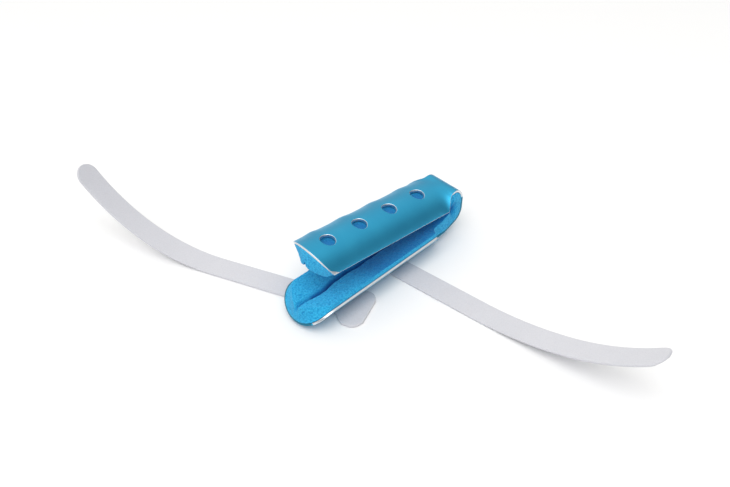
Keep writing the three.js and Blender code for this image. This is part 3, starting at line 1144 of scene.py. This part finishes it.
    def shift(self, distance: Array) -> Array:
        """How far the face moves along X: inwards at the leaning end face, back at the slit."""
        form, sizes = self.form, self.sizes
        inside = np.clip(1.0 - distance / form.round_end, 0.0, 1.0)
        lean = 2.0 * sizes.end_lean * inside * np.sqrt(np.maximum(1.0 - inside ** 2, 0.0))
        away = np.maximum(np.maximum(form.fold_start - distance, distance - form.fold_end), 0.0)
        return lean - sizes.slit_setback * np.clip(1.0 - away / sizes.slit_fade, 0.0, 1.0)

    def net(self) -> Net:
        """Closes the free face and the glued back with cut walls, then rounds and roughens them.

        A wall point lies on the straight line between its face point and its back point.

        Returns:
            The closed mesh.
        """
        lines = self.lines()
        rows, columns = len(lines), self.COLUMNS + 1
        even = np.linspace(-1.0, 1.0, columns)
        shares = even * (self.CENTRE_PITCH + (1.0 - self.CENTRE_PITCH) * even ** 2)
        distance, share = [grid.ravel() for grid in np.meshgrid(lines, shares, indexing="ij")]
        across = share * self.form.section(distance).half
        dimples = self.dimples(distance, across)
        back = self.form.sheet(distance, across, self.sizes.glue_gap + dimples)
        size = rows * columns
        index = np.arange(size).reshape(rows, columns)
        face = np.column_stack([self.face(distance, share), np.ones(size)])
        back = np.column_stack([back, np.zeros(size)])
        shell = Shell(face, back, gridded(index))
        ring = border(index)
        ways = np.arange(1, self.WALL_STEPS) / self.WALL_STEPS
        shell.wall(ring, [face[ring] + (back[ring] - face[ring]) * way for way in ways])
        points, quads = shell.joined()
        free = points[:, 3]
        net = Net(points[:, :3], quads)
        # painted shade on the face, and on the back under the holes
        painted_shade = np.zeros(len(free))
        painted_shade[:size] = self.shade_share(distance, share)
        painted_shade[size:2 * size] = self.sizes.hole_shade * dimples / self.sizes.dimple
        net.relaxed(self.ROUNDING, 0.5 * np.clip(free * 8.0, 0.0, 1.0))
        bell = self.pinched(net.places)
        net.places[:, 1] += self.sizes.pinch * bell
        # painted shade also on the pinched wall at the end of the slit
        net.numbers["painted_shade"] = np.maximum(painted_shade, bell)
        self.roughened(net, np.clip(free * 5.0, 0.0, 1.0))
        return net

    def roughened(self, net: Net, free: Array) -> None:
        """Raises lumps and sinks cell pits along the normals, and keeps the pits as a number, which the
        foam's colour darkens as painted shade.

        Args:
            net: the closed mesh.
            free: how free the foam is at each point, from 0 to 1.
        """
        wide, small = [Lattice(net.places, cell, seed).noise()
                       for cell, seed in zip(self.sizes.lump_cells, self.LUMP_SEEDS)]
        lump = wide * 0.6 + small * 0.4
        pit = smooth((Lattice(net.places, self.sizes.pit_cell, self.PIT_SEED).nearest() - 0.25) / 0.6)
        move = (lump * self.sizes.lump - pit * self.sizes.pit) * free
        net.places = net.places + net.normals() * move[:, None]
        net.numbers["pit"] = pit * free

    def build(self) -> bpy.types.Object:
        """Makes the piece, hangs it on the root body and hides the solid it stands for."""
        piece = self.frame.build("foam_pad", self.net(), self.finish.material())
        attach(piece, "root")
        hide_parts("foam_lining")
        return piece


class Place(Enum):
    """Which of the two straps a strap is."""

    END = "end_strap"
    MIDDLE = "middle_strap"


@dataclass
class StrapSizes:
    """Sizes of one strap, in millimetres and degrees.

    It crosses the strip's middle line at x. Its tail is flat, then rises along curls, each a radius
    and an angle. A tip number is a power of the rounding: the smaller it is, the squarer that corner.
    """

    x: float
    turn: float
    flat: float
    curls: tuple[tuple[float, float], ...]
    tip_right: float
    tip_left: float
    thickness: float = 1.0
    tail_half: float = 4.65
    head_half: float = 9.4
    head_length: float = 12.0
    head_reach: float = 15.0


STRAPS: Mapping[Place, StrapSizes] = {
    Place.END: StrapSizes(
        x=16.4, turn=110.9, flat=45.9, curls=((63.0, 40.0), (71.0, 17.3)), tip_right=1.0, tip_left=1.0
    ),
    Place.MIDDLE: StrapSizes(
        x=45.7, turn=-85.9, flat=41.1, curls=((121.0, 15.8), (83.0, 25.2)), tip_right=1.3, tip_left=0.4
    ),
}


class PileStrap:
    """One strap: a wide head, a long tail that rises along arcs, and a rounded tip."""

    COLUMNS = 22
    ROUNDING = 4
    EDGE_SHARE = 0.42
    BODY_LINES = 300
    TIP_LINES = 26
    TIP_TURN = (3.0, 85.2)
    HEAD_WAY = (0.0, 0.06, 0.15, 0.27, 0.52, 0.68, 0.84, 1.0)
    HEAD_WIDTH = (0.62, 0.8, 0.93, 1.0, 1.0, 0.86, 0.65, 0.495)

    def __init__(self, place: Place, frame: Frame, finish: bpy.types.Material) -> None:
        """Keeps which strap it is, where the strip lies and the material, and lays out its path.

        Args:
            place: which strap.
            frame: where the strip lies.
            finish: its material.
        """
        self.place, self.frame, self.finish, self.sizes = place, frame, finish, STRAPS[place]
        sizes = self.sizes
        curls = [Stretch.arc(radius, degrees) for radius, degrees in sizes.curls]
        self.path = SidePath(0.0, [Stretch(sizes.head_reach + sizes.flat), *curls])
        self.total = float(self.path.marks[-1])

    def sides(self, at: Array) -> tuple[Array, Array]:
        """How far the right and the left edge lie from the middle line.

        Args:
            at: distances from the head's end.

        Returns:
            The right and the left reach.
        """
        sizes = self.sizes
        head = np.interp(at / sizes.head_length, self.HEAD_WAY, self.HEAD_WIDTH) * sizes.head_half
        half = np.where(at < sizes.head_length, head, sizes.tail_half)
        way = np.clip((at - self.total + sizes.tail_half) / sizes.tail_half, 0.0, 0.9965)
        cosine = np.sqrt(1.0 - way ** 2)
        return half * cosine ** sizes.tip_right, half * cosine ** sizes.tip_left

    def net(self) -> Net:
        """Carries a flat section with rounded edges along the path.

        Returns:
            The closed mesh.
        """
        sizes = self.sizes
        straight = self.total - sizes.tail_half
        turn = np.radians(np.linspace(*self.TIP_TURN, self.TIP_LINES))
        body = np.linspace(0.0, straight, self.BODY_LINES)
        at = np.concatenate([body, straight + sizes.tail_half * np.sin(turn)])
        right, left = self.sides(at)
        edge = sizes.thickness * self.EDGE_SHARE
        turn = np.radians(np.linspace(-90.0, 90.0, self.ROUNDING + 2)[1:-1])
        across = np.linspace(-1.0, 1.0, self.COLUMNS + 1)
        plain, edged = np.ones(len(across)), np.ones(self.ROUNDING)
        out = np.concatenate([across, edged, across[::-1], -edged])
        bulge = np.concatenate([0.0 * plain, np.cos(turn), 0.0 * plain, -np.cos(turn)])
        rise = np.concatenate([-plain, np.sin(turn), plain, -np.sin(turn)])
        loop = len(out)
        width = np.where(out[None, :] < 0.0, right[:, None], left[:, None])
        inner = np.maximum(width - edge, 0.02)
        round_edge = np.minimum(edge, width)
        y = out[None, :] * inner + bulge[None, :] * round_edge
        height = sizes.thickness * (0.5 + 0.5 * rise[None, :]) + np.zeros_like(y)
        distance = np.repeat(at[:, None], loop, axis=1)
        x, z, heading = [grid.reshape(len(at), loop) for grid in self.path.at(distance.ravel())]
        x = x - sizes.head_reach - height * np.sin(heading)
        z = z + height * np.cos(heading)
        turned = math.radians(sizes.turn)
        places = np.stack([
            sizes.x + x * math.cos(turned) - y * math.sin(turned),
            x * math.sin(turned) + y * math.cos(turned),
            z,
        ], axis=-1).reshape(-1, 3)
        index = np.arange(len(at) * loop).reshape(len(at), loop)
        quads = [gridded(np.hstack([index, index[:, :1]]))]
        for row in (0, len(at) - 1):
            wide = len(across)
            bottom, left_side, top, right_side = np.split(index[row], np.cumsum([wide, self.ROUNDING, wide]))
            quads.append(np.stack([bottom[:-1], bottom[1:], top[-2::-1], top[:0:-1]], axis=1))
            for side in ([bottom[-1], *left_side, top[0]], [top[-1], *right_side, bottom[0]]):
                quads.append(np.stack([side[:2], side[1:3], side[4:2:-1], side[5:3:-1]], axis=1))
        along = np.stack([distance, y, height], axis=-1).reshape(-1, 3)
        return Net(places, np.vstack(quads), {"along": along})

    def build(self, rests_on: Iterable[str]) -> bpy.types.Object:
        """Makes the piece, hangs it on the root body and hides the solid it stands for.

        Args:
            rests_on: the names of what the strap is fastened to; not used.

        Returns:
            The piece.
        """
        piece = self.frame.build(f"{self.place.value}_cloth", self.net(), self.finish)
        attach(piece, "root")
        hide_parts(self.place.value)
        return piece


# Floor, light and camera
@dataclass(frozen=True)
class Softbox:
    """One white area light that points at the origin: its place, size in metres and power in watts."""

    name: str
    place: tuple[float, float, float]
    size: tuple[float, float]
    power: float


@dataclass
class Studio:
    """The pale floor, the soft lights and the camera."""

    frame: Frame
    bearing: float = 45.98
    drop: float = 39.51
    distance: float = 316.97
    look_at: tuple[float, float] = (48.06, 13.52)
    focal_pixels: float = 825.3
    frame_pixels: float = 730.0
    sensor: float = 36.0
    boxes: tuple[Softbox, ...] = (
        Softbox("key", (-0.42, -0.2, 0.92), (0.9, 0.9), 4.6),
        Softbox("front_fill", (-0.3, -0.7, 0.8), (0.9, 0.6), 1.3),
    )
    horizon: Colour = colour(0.3, 0.31, 0.33)
    zenith: Colour = colour(0.99, 0.98, 0.95)
    rise: tuple[float, float, float] = (0.0, 0.42, 1.0)
    floor_colour: Colour = colour(0.93, 0.93, 0.935)
    floor_half: float = 3.0
    floor_level: float = -0.05 * MM

    def camera(self) -> None:
        """Stands the camera back along its line of sight from the point it looks at."""
        bearing, drop = math.radians(self.bearing), math.radians(self.drop)
        level = math.cos(drop)
        sight = Vector((level * math.sin(bearing), level * math.cos(bearing), -math.sin(drop)))
        target = Vector(self.frame.to_part(np.array([*self.look_at, 0.0])))
        lens = bpy.data.cameras.new("camera")
        lens.sensor_width = self.sensor
        lens.lens = self.focal_pixels / self.frame_pixels * self.sensor
        lens.clip_start = 0.01
        made = linked("camera", lens)
        made.location = target - sight * self.distance * MM
        made.rotation_euler = sight.to_track_quat("-Z", "Y").to_euler()
        bpy.context.scene.camera = made

    def floor(self) -> None:
        """Lays a plain pale floor just under the part."""
        values = {"Base Color": self.floor_colour, "Roughness": 0.9, "Specular IOR Level": 0.1}
        mesh = bpy.data.meshes.new("floor")
        half, level = self.floor_half, self.floor_level
        corners = [(-half, -half, level), (half, -half, level), (half, half, level), (-half, half, level)]
        mesh.from_pydata(corners, [], [(0, 1, 2, 3)])
        mesh.materials.append(Recipe.called("pale_floor").finish(values))
        linked("floor", mesh)

    def lights(self) -> None:
        """Lights the room evenly and adds the softboxes."""
        scene = bpy.context.scene
        recipe = Recipe(bpy.data.worlds.new("room"))
        direction = recipe.node("ShaderNodeTexCoord", out="Generated")
        values = {0: direction, 1: self.rise}
        height = recipe.node("ShaderNodeVectorMath", {"operation": "DOT_PRODUCT"}, values, "Value")
        sky = recipe.mix(height.ramp(0.15, 0.8), self.horizon, self.zenith)
        background = recipe.node("ShaderNodeBackground", None, {"Color": sky, "Strength": 1.0})
        recipe.node("ShaderNodeOutputWorld", None, {"Surface": background})
        scene.world = recipe.owner
        for box in self.boxes:
            light = bpy.data.lights.new(box.name, "AREA")
            light.shape = "RECTANGLE"
            light.size, light.size_y = box.size
            light.energy = box.power
            made = linked(box.name, light)
            made.location = box.place
            made.rotation_euler = (-Vector(box.place)).to_track_quat("-Z", "Y").to_euler()
        scene.view_settings.view_transform = "Standard"
        scene.view_settings.look = "None"

    def build(self) -> None:
        """Sets up the camera, the floor and the lights."""
        self.camera()
        self.floor()
        self.lights()


def strip_frame(form: StripForm) -> Frame:
    """Finds the strip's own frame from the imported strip's box.

    The lower leaf's near edge is half a chord of its outer radius from the middle line, and the
    rounded end's first line lies a little way in from the end.

    Args:
        form: the strip's sizes.

    Returns:
        The frame.
    """
    low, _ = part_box("metal_strip")
    chord = (form.trough_radius + form.thickness) * math.sin(form.lower_half / form.trough_radius)
    first = form.round_end * (1.0 - math.cos(math.radians(9.0)))
    return Frame(low[0] / MM - first, low[1] / MM + chord)


def main() -> None:
    """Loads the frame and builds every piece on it."""
    logging.basicConfig(level=logging.INFO, format="%(name)s: %(message)s")
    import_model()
    form = StripForm()
    frame = strip_frame(form)
    LOG.info("strip frame at %.3f, %.3f mm", frame.tip_x, frame.middle_y)
    Studio(frame).build()
    sheet = BlueSheet(form, frame, DyedSheet((form.length, -form.upper_half))).build()
    pieces = [sheet, FoamLining(form, FoamSizes(), frame, CellFoam()).build()]
    pile = LoopPile().material()
    pieces += [PileStrap(place, frame, pile).build([sheet.name]) for place in Place]
    for piece in pieces:
        LOG.info("%s: %d faces", piece.name, len(piece.data.polygons))


if __name__ == "__main__":
    main()
